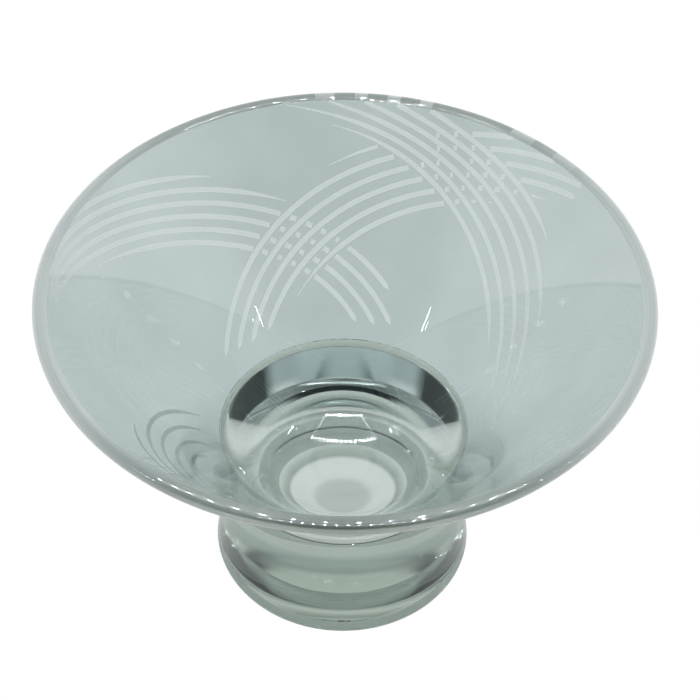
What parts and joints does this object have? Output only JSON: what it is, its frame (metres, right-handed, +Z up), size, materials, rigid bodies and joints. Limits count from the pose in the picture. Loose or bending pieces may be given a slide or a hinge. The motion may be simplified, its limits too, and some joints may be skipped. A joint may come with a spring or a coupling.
{
  "type": "footed glass bowl",
  "caption": "Clear glass bowl with a straight flared wall, round polished rim and rounded bottom, on a heavy solid foot with a hollowed base; bands of thin etched stripes cross on the wall.",
  "frame": {"origin": "middle of the base, on the surface that the foot stands on", "axes": "+Z up along the axis of revolution; -Y is the front, towards the viewer of the picture, and +X is to that viewer's right"},
  "size_m": [0.2, 0.2, 0.1283],
  "materials": {
    "clear_glass": "polished",
    "foot_glass": "polished"
  },
  "bodies": {
    "root": {"bowl": "clear_glass", "foot": "foot_glass"}
  },
  "joints": []
}
